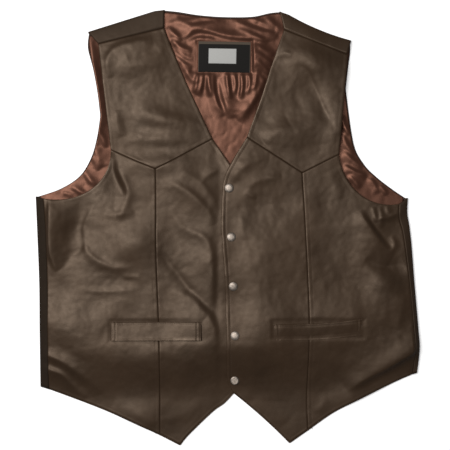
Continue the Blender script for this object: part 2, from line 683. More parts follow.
def add_piece(name, bm):
    """A new smooth object from a bmesh, at the origin."""
    mesh = bpy.data.meshes.new(name)
    bm.to_mesh(mesh)
    bm.free()
    mesh.polygons.foreach_set("use_smooth", np.ones(len(mesh.polygons), bool))
    piece = bpy.data.objects.new(name, mesh)
    bpy.context.scene.collection.objects.link(piece)
    return piece


print("pieces are linked into", bpy.context.scene.collection.name)

# %% Cloth from a grid


def cloth(name, columns, rows, place, wall, keep=None, worn=None, matt=None):
    """A cloth piece. place gives the outer points in millimetres from column and row numbers."""
    bm = bmesh.new()
    across, up = columns - 1, rows - 1
    bmesh.ops.create_grid(bm, x_segments=across, y_segments=up, size=0.5)
    if keep is not None:
        dropped = []
        for face in bm.faces:
            middle = face.calc_center_median()
            i, j = int((middle.x + 0.5) * across), int((middle.y + 0.5) * up)
            if not keep(i, j):
                dropped.append(face)
        bmesh.ops.delete(bm, geom=dropped, context="FACES")
    piece = add_piece(name, bm)
    mesh = piece.data
    flat = np.empty(len(mesh.vertices) * 3)
    mesh.vertices.foreach_get("co", flat)
    i = np.rint((flat[0::3] + 0.5) * across).astype(int)
    j = np.rint((flat[1::3] + 0.5) * up).astype(int)
    outer = place(i, j)
    mesh.vertices.foreach_set("co", (outer * MM).ravel())
    wear = mesh.attributes.new("wear", "FLOAT", "POINT")
    wear.data.foreach_set("value", np.zeros(len(i)) if worn is None else worn(i, j, outer))
    if matt is not None:
        mesh.attributes.new("matt", "FLOAT", "POINT").data.foreach_set("value", matt(i, j))
    mesh.update()
    solidify = piece.modifiers.new("wall", "SOLIDIFY")
    solidify.thickness = wall * MM
    solidify.offset = -1
    made[name] = piece
    print(name, len(mesh.polygons), "cells")
    return piece


# %% [markdown]
# Six front panels. A yoke covers the upper chest and ends in a point, a side panel carries the
# armhole, and a centre panel the closure. They are cut apart, as on the real vest, because the seams
# between them are what gives this front its western look. A tucked edge gets a seam allowance of a
# millimetre that runs on under its neighbour, so that no light comes through the seam.

# %% A front panel
ALLOWANCE = 1.0  # how far a tucked edge runs on under its neighbour
ALLOWANCE_DIP = 1.2  # and how much deeper it lies there
ON_THE_EDGE = 0.05  # points nearer than this to an edge lie on it
RUB_REACH = 2.2  # how far in from an edge the leather is rubbed


def outward(path, centre):
    """Direction across a nearly straight edge, away from the middle of its panel."""
    run = path[-1] - path[0]
    across = np.array([run[1], -run[0]]) / np.hypot(*run)
    return across * np.sign(np.dot(across, path.mean(axis=0) - centre))


def panel(name, side, outline, edges, step=2.2):
    """A front panel on the height of its front, with the forms of its edges."""
    (width, length), area = cut_size(outline)
    us, vs = stations(width * 1000, step), stations(length * 1000, step)

    def place(i, j):
        p = outline(us[i], vs[j])
        x, y = p.T
        centre = outline_points(outline).mean(axis=0)
        z = front_height(side, x, y)
        lowest = np.full(len(x), LEATHER + 0.1)
        for kind, path in edges:
            away = nearest(path, x, y)[0]
            z = z + edge_form(kind, away)
            if kind == "tucked":
                p = p + np.outer(away < ON_THE_EDGE, outward(path, centre) * ALLOWANCE)
                z = z - ALLOWANCE_DIP * (away < ON_THE_EDGE)
                lowest = np.where(away < ON_THE_EDGE, LEATHER, lowest)
        return np.column_stack([p, np.maximum(z, lowest)])

    def worn(i, j, outer):
        x, y = outer[:, 0], outer[:, 1]
        wear = np.zeros(len(x))
        for kind, path in edges:
            rubbed = np.exp(-((nearest(path, x, y)[0] / RUB_REACH) ** 2))
            wear = np.maximum(wear, rubbed * EDGE_WEAR[kind])
        return wear

    piece = cloth(name, len(us), len(vs), place, LEATHER, worn=worn)
    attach(piece, "root")
    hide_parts(name)
    return piece, (width, length), area


print("a tucked edge runs", ALLOWANCE, "mm on under its neighbour")

# %% Yokes and side panels


def yoke(name, side):
    """The upper front, which ends in a point."""
    arm = line(side.yoke_arm, side.seam_arm)
    neck = spline(side.neckline)
    shoulder = line(side.seam_arm, side.seam_neck)
    if side is RIGHT:
        lower = [(0.4, line(side.yoke_arm, side.yoke_point)), (0.6, line(side.yoke_point, side.yoke_neck))]
        outline = patch(edge(*lower), edge((1, shoulder)), edge((1, arm)), edge((1, neck)))
    else:
        lower = [(0.6, line(side.yoke_neck, side.yoke_point)), (0.4, line(side.yoke_point, side.yoke_arm))]
        outline = patch(edge(*lower), edge((1, shoulder[::-1])), edge((1, neck)), edge((1, arm)))
    edges = [("pressed", arm), ("pressed", neck), ("tucked", shoulder)]
    edges += [("lapped", np.vstack([path for _, path in lower]))]
    return panel(name, side, outline, edges)


def side_panel(name, side):
    """The outer lower front, with the lower armhole."""
    scoop = bezier(side.scoop)
    yoke_seam = line(side.yoke_arm, side.yoke_point)
    princess = spline(side.princess)
    side_seam = spline(side.side_seam)
    if side is RIGHT:
        hem = spline([side.side_seam[0], *side.hem, side.princess[0]])
        top = edge((0.75, scoop[::-1]), (0.25, yoke_seam))
        outline = patch(edge((1, hem)), top, edge((1, side_seam)), edge((1, princess)))
    else:
        hem = spline([side.princess[0], *side.hem, side.side_seam[0]])
        top = edge((0.25, yoke_seam[::-1]), (0.75, scoop))
        outline = patch(edge((1, hem)), top, edge((1, princess)), edge((1, side_seam)))
    edges = [("hem", hem), ("pressed", scoop), ("tucked", yoke_seam)]
    edges += [("lapped", princess), ("tucked", side_seam)]
    return panel(name, side, outline, edges)


print("length of the princess seams:", [round(path_length(spline(s.princess))) for s in (RIGHT, LEFT)], "mm")

# %% Centre panels
LAP_CORNER_SHARE = 1 / 24  # of the closure edge, for its slanted corner at the hem


def right_centre(name):
    """The inner lower front under the lap."""
    tip_edge = line(RIGHT.princess[0], RIGHT.tip)
    hem = spline([RIGHT.tip, *UNDER_HEM_MIDDLE, UNDER_MEETS_LAP])
    hidden_hem = line(UNDER_MEETS_LAP, UNDER_HEM)
    closure = line(UNDER_HEM, UNDER_TOP)
    neck = spline(UNDER_NECKLINE)
    yoke_seam = line(RIGHT.yoke_point, RIGHT.yoke_neck)
    princess = spline(RIGHT.princess)
    outline = patch(
        edge((0.2, tip_edge), (0.6, hem), (0.2, hidden_hem)),
        edge((1, yoke_seam)),
        edge((1, princess)),
        edge((0.75, closure), (0.25, neck)),
    )
    free = np.vstack([tip_edge, hem, hidden_hem])
    edges = [("hem", free), ("plain", closure), ("turned", neck)]
    edges += [("tucked", yoke_seam), ("tucked", princess)]
    return panel(name, RIGHT, outline, edges)


def left_centre(name):
    """The inner lower front that laps over the other."""
    hem = bowed(LAP_HEM, LEFT.tip, LAP_HEM_SAG)
    tip_edge = line(LEFT.tip, LEFT.princess[0])
    corner = line(LAP_HEM, LAP_CORNER)
    straight = spline(LAP_STRAIGHT)
    neck = spline(LAP_NECKLINE)
    yoke_seam = line(LEFT.yoke_neck, LEFT.yoke_point)
    princess = spline(LEFT.princess)
    outline = patch(
        edge((0.8, hem), (0.2, tip_edge)),
        edge((1, yoke_seam)),
        edge((LAP_CORNER_SHARE, corner), (0.75 - LAP_CORNER_SHARE, straight), (0.25, neck)),
        edge((1, princess)),
    )
    edges = [("hem", np.vstack([tip_edge[::-1], hem[::-1]]))]
    edges += [("turned", np.vstack([corner, straight, neck]))]
    edges += [("tucked", yoke_seam), ("tucked", princess)]
    return panel(name, LEFT, outline, edges)


print("the closure overlaps by", round(UNDER_TOP[0] - LAP_STRAIGHT[-1][0], 1), "mm at its top")

# %% Six fronts
fronts = {
    "right_front_yoke": yoke("right_front_yoke", RIGHT),
    "right_front_side": side_panel("right_front_side", RIGHT),
    "right_front_centre": right_centre("right_front_centre"),
    "left_front_yoke": yoke("left_front_yoke", LEFT),
    "left_front_side": side_panel("left_front_side", LEFT),
    "left_front_centre": left_centre("left_front_centre"),
}
for name, (piece, flat, area) in fronts.items():
    print(name, "cut", [round(size, 3) for size in flat], "m, area", round(area, 4), "m2")

# %% [markdown]
# The back is one piece. It lies flat on the table and turns over to the front at both sides and at
# both shoulders, so its strips show beside the front panels. It is one grid: the rows run from hem
# to shoulder, extra columns go round the side folds, and extra rows round the shoulders. Cells that
# have no cloth, beside the neck and the armholes, are deleted before the points are moved.

# %% Outline of the back
BACK_SHARES = SimpleNamespace(side=0.45, armhole=0.35, arm=0.2, shoulder=0.3, neck=0.4)


def in_from_shoulder(side, place):
    """A place on a shoulder fold, moved in to where the roll begins."""
    return np.array(place) + from_shoulder(side) * FOLD_RADIUS


def back_outline():
    """The flat part of the back, between its rolls."""

    def side_edge(side):
        fold = [(x - side.sign * FOLD_RADIUS, y) for x, y in zip(side.side_fold, side.side_y)]
        lower = spline([fold[-1], *side.back_arm_lower])
        upper = spline([*side.back_arm_upper, in_from_shoulder(side, side.arm_fold)])
        shares = BACK_SHARES
        return edge((shares.side, spline(fold)), (shares.armhole, lower), (shares.arm, upper))

    right_arm, right_neck = (in_from_shoulder(RIGHT, p) for p in (RIGHT.arm_fold, RIGHT.neck_fold))
    left_arm, left_neck = (in_from_shoulder(LEFT, p) for p in (LEFT.arm_fold, LEFT.neck_fold))
    hem = line(*((s.side_fold[0] - s.sign * FOLD_RADIUS, s.side_y[0]) for s in (RIGHT, LEFT)))
    top = edge(
        (BACK_SHARES.shoulder, line(right_arm, right_neck)),
        (BACK_SHARES.neck, spline([right_neck, *BACK_NECK, left_neck])),
        (BACK_SHARES.shoulder, bowed(left_neck, left_arm, LEFT.shoulder_sag)),
    )
    return patch(edge((1, hem)), top, side_edge(RIGHT), side_edge(LEFT))


back_flat, back_area = cut_size(back_outline())
print("the back without its strips:", [round(size, 3) for size in back_flat], "m")

# %% Rolls of the back
BACK_ACROSS, BACK_UP, ROLL_STEPS = 120, 128, 16
ROLL_FULLNESS = 0.4  # 0 for a sharp turn upwards, 1 for a round one
ROUNDED_OFF = 0.7  # share of the shoulder roll that is lost at the neck
ROUNDED_FROM = 0.86  # from this share of the shoulder on
SIDE_ROWS = round(BACK_SHARES.side * BACK_UP)
STRAP_COLUMNS = round(BACK_SHARES.shoulder * BACK_ACROSS)


def turned_over(start, fold, seam, height, share):
    """Places on the roll of a fold: share 0 to 0.4 under it, and on to 1 over it up to the seam."""
    under = np.clip(share / 0.4, 0, 1)[:, None] * np.pi / 2
    over = np.clip((share - 0.4) / 0.6, 0, 1)[:, None] * np.pi / 2
    plan = start + (fold - start) * np.sin(under) + (seam - fold) * (1 - np.cos(over))
    round_over, straight_over = np.sin(over[:, 0]), 1 - np.cos(over[:, 0])
    risen = ROLL_FULLNESS * round_over + (1 - ROLL_FULLNESS) * straight_over
    rise = FOLD_RADIUS * (1 - np.cos(under[:, 0])) + (height - FOLD_RADIUS) * risen
    return np.column_stack([plan, rise])


print("a roll has", ROLL_STEPS, "steps, and the back", BACK_ACROSS, "by", BACK_UP, "cells between its rolls")

# %% Back
ROLL_MATT_FROM = (0.25, 0.5)  # shares of a side roll between which it becomes matt
STRAP_MATT_FROM = (0.2, 0.5)  # and of a shoulder roll
LEFT_MATT = 0.35  # how matt the left side strip is, where 1 is as matt as the right one
STRAP_MATT = 0.45  # and the right shoulder strip


def back():
    outline = back_outline()
    columns = BACK_ACROSS + 2 * ROLL_STEPS + 1
    rows = BACK_UP + ROLL_STEPS + 1

    def place(i, j):
        u = 1 - np.clip((i - ROLL_STEPS) / BACK_ACROSS, 0, 1)
        up_side = np.minimum(1, j / SIDE_ROWS)
        up_arm = np.maximum(0, (np.minimum(j, BACK_UP) - SIDE_ROWS) / (BACK_UP - SIDE_ROWS))
        v = BACK_SHARES.side * up_side + (1 - BACK_SHARES.side) * up_arm
        flat = outline(u, v)
        out = np.column_stack([flat, np.zeros(len(i))])
        for side, turned in ((LEFT, i < ROLL_STEPS), (RIGHT, i > ROLL_STEPS + BACK_ACROSS)):
            steps = ROLL_STEPS - i if side is LEFT else i - ROLL_STEPS - BACK_ACROSS
            seam = along(spline(side.side_seam), up_side[turned])
            start = flat[turned]
            fold = start + np.array([side.sign * FOLD_RADIUS, 0])
            height = front_height(side, *seam.T)
            out[turned] = turned_over(start, fold, seam, height, steps[turned] / ROLL_STEPS)
        for side in (LEFT, RIGHT):
            from_arm = np.clip((1 - u if side is LEFT else u) / BACK_SHARES.shoulder, 0, 1)
            strap = (j > BACK_UP) & ((u > 0.5) == (side is LEFT))
            share = from_arm[strap][:, None]
            seam = np.array(side.seam_arm) * (1 - share) + np.array(side.seam_neck) * share
            start = flat[strap]
            radius = FOLD_RADIUS * (1 - ROUNDED_OFF * smooth(ROUNDED_FROM, 1, share))
            fold = start - from_shoulder(side) * radius
            height = front_height(side, *seam.T)
            steps = (j[strap] - BACK_UP) / ROLL_STEPS
            out[strap] = turned_over(start, fold, seam, height, steps)
        return out

    def keep(i, j):
        column = i - ROLL_STEPS
        if column < 0 or column >= BACK_ACROSS:
            return j < SIDE_ROWS
        return j < BACK_UP or column < STRAP_COLUMNS or column >= BACK_ACROSS - STRAP_COLUMNS

    def matt(i, j):
        right_roll = smooth(*ROLL_MATT_FROM, (i - ROLL_STEPS - BACK_ACROSS) / ROLL_STEPS)
        left_roll = smooth(*ROLL_MATT_FROM, (ROLL_STEPS - i) / ROLL_STEPS)
        strap = smooth(*STRAP_MATT_FROM, (j - BACK_UP) / ROLL_STEPS)
        right_strap = strap * (i > ROLL_STEPS + BACK_ACROSS / 2)
        return right_roll + LEFT_MATT * left_roll + STRAP_MATT * right_strap

    piece = cloth("back_panel", columns, rows, place, LEATHER, keep, matt=matt)
    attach(piece, "root")
    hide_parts("back_panel")
    return piece


back_piece = back()
STRIP_REACH = 0.03  # how far a turned-over strip runs on past its fold, in metres
STRIP_LENGTH = 0.28 + 0.11  # along one side fold and one shoulder
back_flat = (back_flat[0] + 2 * STRIP_REACH, back_flat[1] + STRIP_REACH)
back_area = back_area + 2 * STRIP_REACH * STRIP_LENGTH
print("back cut", [round(size, 3) for size in back_flat], "m, area", round(back_area, 4), "m2")

# %% [markdown]
# The satin lining covers the inside of the back. It is thin and slippery, so its folds are sharper
# and narrower than those in leather. The grid is fine only where the satin shows, in the neck and
# in the armholes, because the fronts hide the rest.

# %% Lining
LINING_HEM_INSET = 15 / 600  # share of the back's length that the lining leaves at the hem
LINING_EDGE_INSET = 2 / 500  # and at the other edges


def spread(*runs):
    """Shares from (start, end, steps) runs in a row."""
    parts = [np.linspace(start, end, steps, endpoint=False) for start, end, steps in runs]
    return np.concatenate([*parts, [runs[-1][1]]])


def lining():
    outline = back_outline()
    last = 1 - LINING_EDGE_INSET
    us = spread(
        (LINING_EDGE_INSET, 0.14, 28), (0.14, 0.3, 12), (0.3, 0.7, 110),
        (0.7, 0.86, 12), (0.86, last, 28),
    )
    vs = spread((LINING_HEM_INSET, 0.42, 18), (0.42, last, 135))

    def place(i, j):
        x, y = outline(us[i], vs[j]).T
        return np.column_stack([x, y, lining_height(x, y)])

    piece = cloth("back_lining", len(us), len(vs), place, SATIN)
    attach(piece, "root")
    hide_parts("back_lining")
    return piece


lining_piece = lining()
lining_flat, lining_area = cut_size(back_outline())
print("lining cut", [round(size, 3) for size in lining_flat], "m")

# %% [markdown]
# A pocket welt is a folded band of leather sewn over a slit, and the seam pulls it a little into the
# front. It is a small sheet on the height of its front, with a rolled top edge, stitch grooves and a
# lower edge that lifts or sinks. It could be cut out of the front panel, but a sheet of its own can
# be left off or made wider.

# %% Bands


def band_places(band, us, vs):
    """Places of a band's grid, turned and bowed as the band is."""
    s, t = us - 0.5, vs - 0.5
    x, y = s * band.length, t * band.height + band.bow * (0.25 - s * s) * 4
    cos, sin = np.cos(band.turn), np.sin(band.turn)
    return np.column_stack([band.x + x * cos - y * sin, band.y + x * sin + y * cos])


def band_shares(band, x, y):
    """Shares along and across a band at places: band_places the other way round."""
    cos, sin = np.cos(band.turn), np.sin(band.turn)
    s = ((x - band.x) * cos + (y - band.y) * sin) / band.length
    t = ((y - band.y) * cos - (x - band.x) * sin - band.bow * (0.25 - s * s) * 4) / band.height
    return s + 0.5, t + 0.5


def band_piece(name, band, under, lift, wall, form, step, fine, worn=None):
    """A band on another piece, whose height is under(x, y)."""
    us, vs = stations(band.length, step, fine), stations(band.height, step, fine)

    def place(i, j):
        x, y = band_places(band, us[i], vs[j]).T
        z = under(x, y) + lift + wall + form(us[i], vs[j])
        return np.column_stack([x, y, z])

    def wear_of(i, j, outer):
        return worn(us[i], vs[j])

    piece = cloth(name, len(us), len(vs), place, wall, worn=wear_of if worn else None)
    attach(piece, "root")
    return piece


print("the middle of the label:", band_places(LABEL, np.array([0.5]), np.array([0.5])).round(1), "mm")

# %% Pocket welts
WELT_WALL = 1.6
WELT_STITCH = 3.2  # from the top edge to its row of stitches
WELT_LIFT = -0.5  # the underside of a welt is pulled this far into the front
LIP = 0.8  # the lower edge stands off this far
LIP_REACH = 3.2
RIM = 1.2  # the top and the ends are rolled down this far
BELLY = 0.3  # and the middle bulges this far
GROOVE = 0.55  # depth of a groove of stitches
END_STITCHES = (2.5, 7)  # from each end to its two rows of stitches


def welt_form(band, u, v):
    """Height of a welt above its plain sheet, at shares along and across it."""
    low, high = v * band.height, (1 - v) * band.height
    end = np.minimum(u, 1 - u) * band.length
    rim = -RIM * np.exp(-((np.minimum(high, end) / 1.1) ** 2))
    lip = LIP * np.exp(-((low / LIP_REACH) ** 2))
    belly = BELLY * np.sin(np.pi * v) * smooth(0, 8, end) + band.tilt * (1 - v)
    groove = -GROOVE * np.exp(-(((high - WELT_STITCH) / 0.8) ** 2))
    for away in END_STITCHES:
        groove = groove - GROOVE * np.exp(-(((end - away) / 0.8) ** 2))
    return rim + lip + belly + groove


def welt(name, side):
    band = WELTS[name]

    def form(u, v):
        return welt_form(band, u, v)

    def worn(u, v):
        return np.exp(-((v * band.height / 3) ** 2))

    def under(x, y):
        return front_height(side, x, y)

    piece = band_piece(
        f"{name}_pocket_welt", band, under, WELT_LIFT, WELT_WALL, form, 1.6, EDGE_STEPS[:6], worn,
    )
    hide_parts(f"{name}_pocket_welt")


for name, side in (("right", RIGHT), ("left", LEFT)):
    welt(name, side)

# %% [markdown]
# The neck label is woven, with a border along its top and its two sides sewn down. It is a band like
# the welts, on the height of the satin. Its light patch is a second, smaller band, and it is left
# bare. A border and stitched sides could be bands of their own too, but they are flat, so the mesh
# only marks where they are and the finish colours them.

# %% Label
LABEL_WALL = 0.8
LABEL_LIFT = 0.1
BORDER = 4.5  # width of the woven border
SEWN_REACH = 2.2  # how far the sewn sides reach in from the ends
PATCH_WALL = 0.4
PATCH = SimpleNamespace(x=-8.4, y=255.2, length=41.5, height=22.5, turn=-0.017, bow=0)


def label():
    def form(u, v):
        end = np.minimum(u, 1 - u) * LABEL.length
        top = np.minimum(v, 1 - v) * LABEL.height
        rim = -0.4 * np.exp(-((np.minimum(end, top) / 0.7) ** 2))
        return rim + 0.15 * np.sin(u * 19) * smooth(0.3, 0, v)

    def worn(u, v):
        """1 on the woven border along the top, 2 on the two sewn sides."""
        high = (1 - v) * LABEL.height
        end = np.minimum(u, 1 - u) * LABEL.length
        sewn = np.exp(-((end / SEWN_REACH) ** 2)) * 2
        return np.where(high < BORDER, np.maximum(1, sewn), sewn)

    piece = band_piece(
        "neck_label", LABEL, lining_height, LABEL_LIFT, LABEL_WALL, form, 1.2, EDGE_STEPS[:5], worn,
    )
    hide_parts("neck_label")


def patch_form(u, v):
    across = np.minimum(u, 1 - u) * PATCH.length
    up = np.minimum(v, 1 - v) * PATCH.height
    return -0.25 * np.exp(-((np.minimum(across, up) / 0.5) ** 2))


label()
patch_piece = band_piece(
    "label_patch", PATCH, lining_height, LABEL_LIFT + LABEL_WALL, PATCH_WALL, patch_form, 1.4,
    EDGE_STEPS[:4],
)

# %% [markdown]
# A snap cap is a small dome of pressed metal with a rolled rim. It is turned round its axis like a
# piece on a lathe, which is what bmesh's spin does: a few points make the profile, and use_merge
# closes the seam. Each cap is spun in its place, tilted with the leather under it.

# %% Snap caps
CAP_SEAT = 0.05  # a cap stands this far above the leather
TILT_REACH = 3.0  # and leans as the leather does within this distance
CAP_PROFILE = [
    # radius and height, from the top to the middle of the underside
    (0, 2.2), (1.4, 2.2), (2.6, 2.15), (3.8, 2.0), (4.8, 1.75), (5.4, 1.45),
    (5.8, 1.25), (6.2, 1.15), (6.5, 0.85), (6.8, 0.4), (6.6, 0.05), (0, 0),
]


def snap_cap(name, x, y):
    """A cap on the lapping front."""
    bm = bmesh.new()
    verts = [bm.verts.new((radius * MM, 0, z * MM)) for radius, z in CAP_PROFILE]
    profile = [bm.edges.new(pair) for pair in zip(verts, verts[1:])]
    bmesh.ops.spin(
        bm, geom=verts + profile, cent=(0, 0, 0), axis=(0, 0, 1),
        angle=2 * np.pi, steps=32, use_merge=True,
    )
    bmesh.ops.remove_doubles(bm, verts=bm.verts, dist=0.00001)
    bmesh.ops.recalc_face_normals(bm, faces=bm.faces)
    across = np.array([x, x - TILT_REACH, x + TILT_REACH, x, x])
    along_front = np.array([y, y, y, y - TILT_REACH, y + TILT_REACH])
    spots = front_height(LEFT, across, along_front)
    up = Vector((spots[1] - spots[2], spots[3] - spots[4], 2 * TILT_REACH)).normalized()
    tilt = Vector((0, 0, 1)).rotation_difference(up).to_matrix().to_4x4()
    seat = Matrix.Translation((x * MM, y * MM, (spots[0] + CAP_SEAT) * MM))
    bmesh.ops.transform(bm, matrix=seat @ tilt, verts=bm.verts)
    piece = add_piece(name, bm)
    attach(piece, "root")
    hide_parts(name)
    return piece


caps = [snap_cap(f"snap_cap_{k + 1}", x, y) for k, (x, y) in enumerate(SNAPS)]
print(len(caps), "snap caps")

# %% [markdown]
# Topstitching is a row of short threads that lie in their groove. Each stitch is a small ball drawn
# out along the seam: a ball of twenty faces is enough, because there are more than a thousand of
# them. All stitches of one front are one mesh.

# %% Stitching
STITCH_PITCH = 3.4
STITCH_SIZE = (1.35, 0.42, 0.34)  # half its length, width and height
SEAM_STITCH = 3  # from the side seam to its row
STRAP_STITCHES = (2.5, 8)  # from the shoulder seam to the two rows on the strip
STITCH_SUNK = 0.3  # into the fronts
STRAP_SUNK = 0.1  # into the shoulder strips
WELT_STAND = 0.15  # above the grooves of the welts
FRONT_MIDDLE = (140, -20)  # of the left front, and mirrored for the right one


def offset_path(path, away):
    """A path moved to the left of its direction."""
    direction = np.gradient(path, axis=0)
    direction = direction / np.hypot(*direction.T)[:, None]
    return path + np.column_stack([-direction[:, 1], direction[:, 0]]) * away


def stitch_places(path, trim=3):
    """Places of stitches along a path, and places 1 mm ahead of them, which give their direction."""
    length = path_length(path)
    count = max(2, int((length - 2 * trim) / STITCH_PITCH))
    share = (trim + np.arange(count) * STITCH_PITCH) / length
    ahead = (trim + np.arange(count) * STITCH_PITCH + 1) / length
    return along(path, share), along(path, ahead)


def stitching(name, rows):
    """One mesh of stitches. rows holds (path, height function) pairs."""
    bm = bmesh.new()
    count = 0
    for path, height in rows:
        here, ahead = stitch_places(path)
        low, high = height(*here.T), height(*ahead.T)
        for (x, y), (nx, ny), z, nz in zip(here, ahead, low, high):
            lengthwise = Vector((nx - x, ny - y, nz - z)).normalized()
            upward = Vector((0, 0, 1)) - lengthwise * lengthwise.z
            upward.normalize()
            sideways = upward.cross(lengthwise)
            turn = Matrix((lengthwise, sideways, upward)).transposed().to_4x4()
            size = Matrix.Diagonal((*STITCH_SIZE, 1)) * MM
            size[3][3] = 1
            seat = Matrix.Translation((x * MM, y * MM, z * MM))
            bmesh.ops.create_icosphere(bm, subdivisions=1, radius=1, matrix=seat @ turn @ size)
            count += 1
    piece = add_piece(name, bm)
    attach(piece, "root")
    made[name] = piece
    print(name, count, "stitches")


print("a stitch every", STITCH_PITCH, "mm")

# %% Heights of stitches


def lying(side):
    """Height function of stitches that are sunk a little into a front."""

    def height(x, y):
        return front_height(side, x, y) - STITCH_SUNK

    return height


def on_welt(side, band):
    """Height function of stitches in the grooves of a welt."""

    def height(x, y):
        sheet = front_height(side, x, y) + WELT_LIFT + WELT_WALL
        return sheet + welt_form(band, *band_shares(band, x, y)) + WELT_STAND

    return height


def on_strap(side):
    """Height function of the yoke strip between a shoulder fold and its seam."""
    down_front = from_shoulder(side)
    width = np.dot(np.subtract(side.seam_arm, side.arm_fold), down_front)

    def height(x, y):
        past_fold = (x - side.arm_fold[0]) * down_front[0] + (y - side.arm_fold[1]) * down_front[1]
        straight = np.clip(past_fold / width, 0, 1)
        risen = ROLL_FULLNESS * np.sqrt(1 - (1 - straight) ** 2) + (1 - ROLL_FULLNESS) * straight
        return FOLD_RADIUS + (front_height(side, x, y) - FOLD_RADIUS) * risen - STRAP_SUNK

    return height


print("stitches lie", STITCH_SUNK, "mm in the fronts and", STRAP_SUNK, "mm in the shoulder strips")

# %% Rows of stitches


def inside_of(path, side, away=TOPSTITCH):
    """A path moved away from an edge, towards the middle of its front."""
    middle = np.array([side.sign * FRONT_MIDDLE[0], FRONT_MIDDLE[1]])
    for sign in (1, -1):
        moved = offset_path(path, sign * away)
        if np.hypot(*(moved.mean(axis=0) - middle)) < np.hypot(*(path.mean(axis=0) - middle)):
            return moved
    return offset_path(path, away)


def front_rows(side, name):
    """All rows of stitches on one front, each with its height function."""
    shoulder = line(side.seam_arm, side.seam_neck)
    rows = [
        inside_of(spline(side.neckline), side),
        inside_of(line(side.yoke_arm, side.seam_arm), side),
        inside_of(bezier(side.scoop), side),
        offset_path(spline(side.princess), side.sign * -TOPSTITCH),
        offset_path(line(side.yoke_arm, side.yoke_point), side.sign * TOPSTITCH),
        offset_path(line(side.yoke_point, side.yoke_neck), side.sign * TOPSTITCH),
        inside_of(spline(side.side_seam), side, SEAM_STITCH),
    ]
    if side is RIGHT:
        rows += [inside_of(spline([side.side_seam[0], *side.hem, side.princess[0]]), side)]
        rows += [inside_of(spline([side.tip, *UNDER_HEM_MIDDLE, UNDER_MEETS_LAP]), side)]
    else:
        rows += [inside_of(spline([side.princess[0], *side.hem, side.side_seam[0]]), side)]
        rows += [inside_of(bowed(LAP_HEM, side.tip, LAP_HEM_SAG), side)]
        rows += [offset_path(spline(LAP_STRAIGHT), -TOPSTITCH), offset_path(spline(LAP_NECKLINE), -TOPSTITCH)]
    places = [(row, lying(side)) for row in rows]
    for away in STRAP_STITCHES:
        places.append((shoulder - from_shoulder(side) * away, on_strap(side)))
    band = WELTS[name]
    up = np.linspace(0.08, 0.88, 12)
    for away in END_STITCHES:
        for share in (away / band.length, 1 - away / band.length):
            places.append((band_places(band, np.full(12, share), up), on_welt(side, band)))
    top = np.linspace(0.03, 0.97, 40)
    below_top = np.full(40, 1 - WELT_STITCH / band.height)
    places.append((band_places(band, top, below_top), on_welt(side, band)))
    return places


for name, side in (("right", RIGHT), ("left", LEFT)):
    stitching(f"{name}_front_stitching", front_rows(side, name))

# %% [markdown]
# Materials are built from shader nodes. Sums of sockets are clumsy to read as nodes, so a small class
# wraps a socket and lets shader maths be written as Python: 1 - mask, worn * 0.4. Every other node
# comes from its one method, which sets the node up first and then its sockets.

# %% Shader maths


class Wire:
    """One socket of a material. What a method adds is a node, and it gives the node's socket back."""

    def __init__(self, tree, socket=None):
        self.tree = tree
        self.socket = socket

    def node(self, kind, settings=None, inputs=None, output=0):
        added = self.tree.nodes.new(kind)
        for key, value in (settings or {}).items():
            setattr(added, key, value)
        for key, value in (inputs or {}).items():
            if isinstance(value, Wire):
                self.tree.links.new(value.socket, added.inputs[key])
            else:
                added.inputs[key].default_value = value
        return Wire(self.tree, added.outputs[output])

    def maths(self, operation, first, second):
        return self.node("ShaderNodeMath", {"operation": operation}, {0: first, 1: second})

    def __add__(self, other):
        return self.maths("ADD", self, other)

    def __radd__(self, other):
        return self.maths("ADD", other, self)

    def __sub__(self, other):
        return self.maths("SUBTRACT", self, other)

    def __rsub__(self, other):
        return self.maths("SUBTRACT", other, self)

    def __mul__(self, other):
        return self.maths("MULTIPLY", self, other)

    def __rmul__(self, other):
        return self.maths("MULTIPLY", other, self)

    def mix(self, dark, light):
        """A colour between two, by this value."""
        return self.node("ShaderNodeMix", {"data_type": "RGBA"}, {0: self, 6: dark, 7: light}, output=2)

    def noise(self, scale, detail, roughness=0.5):
        """Noise over these places."""
        inputs = {"Vector": self, "Scale": scale, "Detail": detail, "Roughness": roughness}
        return self.node("ShaderNodeTexNoise", inputs=inputs)

    def bump(self, strength, distance):
        """A bumpy normal from this height."""
        inputs = {"Height": self, "Strength": strength, "Distance": distance}
        return self.node("ShaderNodeBump", inputs=inputs)

    def between(self, low, high):
        """0 up to low, 1 from high, and a slope between."""
        return self.node("ShaderNodeMapRange", inputs={0: self, 1: low, 2: high, 3: 0.0, 4: 1.0})

    def mark(self, name):
        """An attribute of the mesh."""
        return self.node("ShaderNodeAttribute", {"attribute_name": name}, output="Fac")


def start_material(name):
    """A new material, with its Principled shader and a wire to start from."""
    material = bpy.data.materials.new(name)
    material.use_nodes = True
    shader = material.node_tree.nodes["Principled BSDF"]
    return material, shader, Wire(material.node_tree)


def feed(shader, name, wire):
    """Lets a wire set an input of a shader."""
    wire.tree.links.new(wire.socket, shader.inputs[name])


def made_of(material):
    """Tells how large a finished material is."""
    print(material.name, "has", len(material.node_tree.nodes), "nodes")
    return material


print("wire words:", ", ".join(word for word in vars(Wire) if word[0] != "_"))

# %% [markdown]
# Garment leather has a fine pebbled grain, a soft waxy shine and a colour that is never quite even:
# dye pools between the pebbles, and edges that are handled turn lighter and smoother. The grain is a
# Voronoi pattern for the pebbles with noise for the slow changes. It goes to Bump, not to geometry,
# because a pebble is about a millimetre wide. The side strips and the right shoulder strip are more
# matt and darker than the rest, and the matt attribute of the mesh tells the shader where.

# %% Leather


def colour(red, green, blue):
    """An opaque colour, in linear values."""
    return (red, green, blue, 1)


